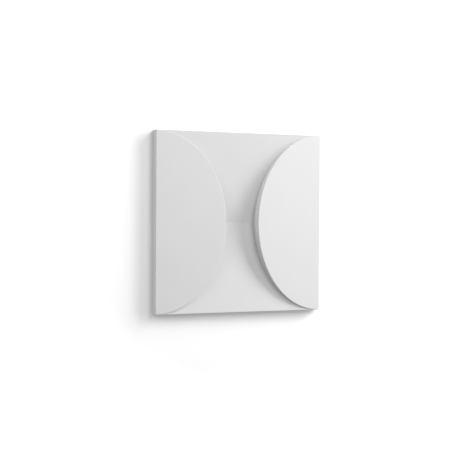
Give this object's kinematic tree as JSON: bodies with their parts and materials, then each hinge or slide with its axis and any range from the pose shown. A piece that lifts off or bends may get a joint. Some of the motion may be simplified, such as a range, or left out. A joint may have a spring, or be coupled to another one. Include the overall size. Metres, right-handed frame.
{
  "type": "3d wall panel tile",
  "caption": "Square white moulded relief tile with a flat back: half-elliptical lobes grow from opposite sides and rise to crests either side of a creased, dipped field.",
  "frame": {"origin": "centre of the flat back, on the surface that the tile lies on", "axes": "+Z out of the relief, through the tile's thickness; +X from the left lobe to the right lobe; +Y along the channel between the lobes, up the wall as pictured"},
  "size_m": [0.333, 0.333, 0.025],
  "materials": {
    "moulded_white": "matt white primer on moulded rigid foam"
  },
  "bodies": {
    "root": {"relief_tile": "moulded_white"}
  },
  "joints": []
}
